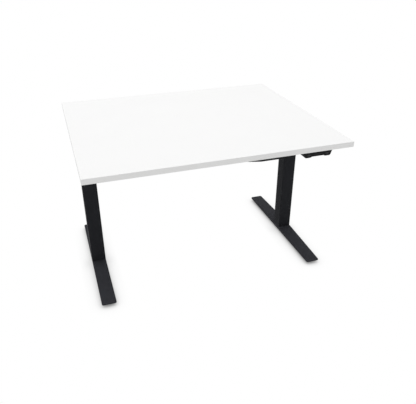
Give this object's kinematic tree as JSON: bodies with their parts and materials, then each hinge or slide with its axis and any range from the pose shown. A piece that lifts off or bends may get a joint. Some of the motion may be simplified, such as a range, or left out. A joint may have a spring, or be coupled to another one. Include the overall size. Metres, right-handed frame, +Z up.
{
  "type": "height adjustable desk",
  "caption": "Rectangular white desk top on dark square telescopic lifting columns with long flat feet, raised and lowered by motors from a hand control.",
  "frame": {"origin": "on the floor under the middle of the desk top", "axes": "+X to the seated user's right along the width, +Y away from the user, +Z up"},
  "size_m": [1.2, 1, 0.74],
  "materials": {
    "white_laminate": "white melamine-faced chipboard, fine grain, satin",
    "white_edge": "white edge band, satin",
    "column_paint": "dark grey powder coat, fine texture",
    "foot_paint": "dark grey powder coat, fine texture",
    "frame_paint": "dark grey powder coat",
    "guide_plastic": "black acetal",
    "post_steel": "drawn steel tube",
    "nut_plastic": "natural acetal",
    "screw_steel": "rolled steel screw, greased",
    "gear_steel": "sintered steel",
    "case_aluminium": "die cast aluminium",
    "motor_shell": "black zinc-coated can",
    "glide_rubber": "black moulded pad on a steel stud",
    "fastener_steel": "zinc plated",
    "box_plastic": "black moulded plastic, fine grain",
    "box_plate": "black sheet steel",
    "handset_plastic": "black moulded plastic, fine grain",
    "handset_glass": "smoked display window",
    "button_plastic": "dark grey moulded plastic"
  },
  "bodies": {
    "base": {"foot_bolts": "fastener_steel", "left_foot": "foot_paint", "left_outer_tube": "column_paint", "left_outer_collar": "guide_plastic", "left_base_post": "post_steel", "left_base_nut": "nut_plastic", "right_foot": "foot_paint", "right_outer_tube": "column_paint", "right_outer_collar": "guide_plastic", "right_base_post": "post_steel", "right_base_nut": "nut_plastic"},
    "top": {"desktop_board": "white_laminate", "front_edge_band": "white_edge", "rear_edge_band": "white_edge", "left_edge_band": "white_edge", "right_edge_band": "white_edge", "front_crossbar": "frame_paint", "rear_crossbar": "frame_paint", "frame_bolts": "fastener_steel", "board_screws": "fastener_steel", "control_box_base": "box_plate", "control_box_cover": "box_plastic", "handset_housing": "handset_plastic", "handset_lens": "handset_glass", "left_side_arm": "frame_paint", "left_inner_tube": "column_paint", "left_inner_sleeve": "guide_plastic", "left_gear_case": "case_aluminium", "left_motor": "motor_shell", "right_side_arm": "frame_paint", "right_inner_tube": "column_paint", "right_inner_sleeve": "guide_plastic", "right_gear_case": "case_aluminium", "right_motor": "motor_shell"},
    "left_middle_stage": {"left_mid_tube": "column_paint", "left_mid_collar": "guide_plastic", "left_mid_sleeve": "guide_plastic", "left_mid_post": "post_steel", "left_mid_nut": "nut_plastic"},
    "left_hollow_shaft": {"left_hollow_screw": "screw_steel"},
    "left_drive_shaft": {"left_drive_screw": "screw_steel", "left_screw_gear": "gear_steel"},
    "left_idler": {"left_idler_gear": "gear_steel"},
    "left_pinion": {"left_motor_pinion": "gear_steel"},
    "front_left_foot_glide": {"front_left_glide": "glide_rubber"},
    "rear_left_foot_glide": {"rear_left_glide": "glide_rubber"},
    "right_middle_stage": {"right_mid_tube": "column_paint", "right_mid_collar": "guide_plastic", "right_mid_sleeve": "guide_plastic", "right_mid_post": "post_steel", "right_mid_nut": "nut_plastic"},
    "right_hollow_shaft": {"right_hollow_screw": "screw_steel"},
    "right_drive_shaft": {"right_drive_screw": "screw_steel", "right_screw_gear": "gear_steel"},
    "right_idler": {"right_idler_gear": "gear_steel"},
    "right_pinion": {"right_motor_pinion": "gear_steel"},
    "front_right_foot_glide": {"front_right_glide": "glide_rubber"},
    "rear_right_foot_glide": {"rear_right_glide": "glide_rubber"},
    "up_button": {"up_button": "button_plastic"},
    "down_button": {"down_button": "button_plastic"}
  },
  "joints": [
    {"name": "lift", "type": "slide", "parent": "base", "child": "top", "axis": [0, 0, 1], "range_m": [-0.12, 0.53]},
    {"name": "left_middle_lift", "type": "slide", "parent": "base", "child": "left_middle_stage", "axis": [0, 0, 1], "range_m": [-0.0601, 0.2651]},
    {"name": "left_hollow_shaft_turn", "type": "hinge", "parent": "left_middle_stage", "child": "left_hollow_shaft", "pos_m": [-0.542, 0, 0.69], "axis": [0, 0, 1], "range_deg": [-2161, 9541]},
    {"name": "left_drive_shaft_turn", "type": "hinge", "parent": "top", "child": "left_drive_shaft", "pos_m": [-0.542, 0, 0.69], "axis": [0, 0, 1], "range_deg": [-2161, 9541]},
    {"name": "left_idler_turn", "type": "hinge", "parent": "top", "child": "left_idler", "pos_m": [-0.502, 0, 0.69], "axis": [0, 0, 1], "range_deg": [-14311, 3241]},
    {"name": "left_pinion_turn", "type": "hinge", "parent": "top", "child": "left_pinion", "pos_m": [-0.474, 0, 0.69], "axis": [0, 0, 1], "range_deg": [-4321, 19081]},
    {"name": "front_left_foot_glide_screw", "type": "slide", "parent": "base", "child": "front_left_foot_glide", "axis": [0, 0, -1], "range_m": [0, 0.004]},
    {"name": "rear_left_foot_glide_screw", "type": "slide", "parent": "base", "child": "rear_left_foot_glide", "axis": [0, 0, -1], "range_m": [0, 0.004]},
    {"name": "right_middle_lift", "type": "slide", "parent": "base", "child": "right_middle_stage", "axis": [0, 0, 1], "range_m": [-0.0601, 0.2651]},
    {"name": "right_hollow_shaft_turn", "type": "hinge", "parent": "right_middle_stage", "child": "right_hollow_shaft", "pos_m": [0.542, 0, 0.69], "axis": [0, 0, 1], "range_deg": [-2161, 9541]},
    {"name": "right_drive_shaft_turn", "type": "hinge", "parent": "top", "child": "right_drive_shaft", "pos_m": [0.542, 0, 0.69], "axis": [0, 0, 1], "range_deg": [-2161, 9541]},
    {"name": "right_idler_turn", "type": "hinge", "parent": "top", "child": "right_idler", "pos_m": [0.502, 0, 0.69], "axis": [0, 0, 1], "range_deg": [-14311, 3241]},
    {"name": "right_pinion_turn", "type": "hinge", "parent": "top", "child": "right_pinion", "pos_m": [0.474, 0, 0.69], "axis": [0, 0, 1], "range_deg": [-4321, 19081]},
    {"name": "front_right_foot_glide_screw", "type": "slide", "parent": "base", "child": "front_right_foot_glide", "axis": [0, 0, -1], "range_m": [0, 0.004]},
    {"name": "rear_right_foot_glide_screw", "type": "slide", "parent": "base", "child": "rear_right_foot_glide", "axis": [0, 0, -1], "range_m": [0, 0.004]},
    {"name": "up_button_press", "type": "slide", "parent": "top", "child": "up_button", "axis": [0, 1, 0], "range_m": [0, 0.001], "stiffness_N_per_m": 600, "springref_m": -0.002},
    {"name": "down_button_press", "type": "slide", "parent": "top", "child": "down_button", "axis": [0, 1, 0], "range_m": [0, 0.001], "stiffness_N_per_m": 600, "springref_m": -0.002}
  ],
  "couplings": [
    {"joint": "left_middle_lift", "follows": "lift", "ratio": 0.5},
    {"joint": "left_hollow_shaft_turn", "follows": "lift", "rad_per_m": 314.16},
    {"joint": "left_drive_shaft_turn", "follows": "lift", "rad_per_m": 314.16},
    {"joint": "left_idler_turn", "follows": "lift", "rad_per_m": -471.24},
    {"joint": "left_pinion_turn", "follows": "lift", "rad_per_m": 628.32},
    {"joint": "right_middle_lift", "follows": "lift", "ratio": 0.5},
    {"joint": "right_hollow_shaft_turn", "follows": "lift", "rad_per_m": 314.16},
    {"joint": "right_drive_shaft_turn", "follows": "lift", "rad_per_m": 314.16},
    {"joint": "right_idler_turn", "follows": "lift", "rad_per_m": -471.24},
    {"joint": "right_pinion_turn", "follows": "lift", "rad_per_m": 628.32}
  ]
}
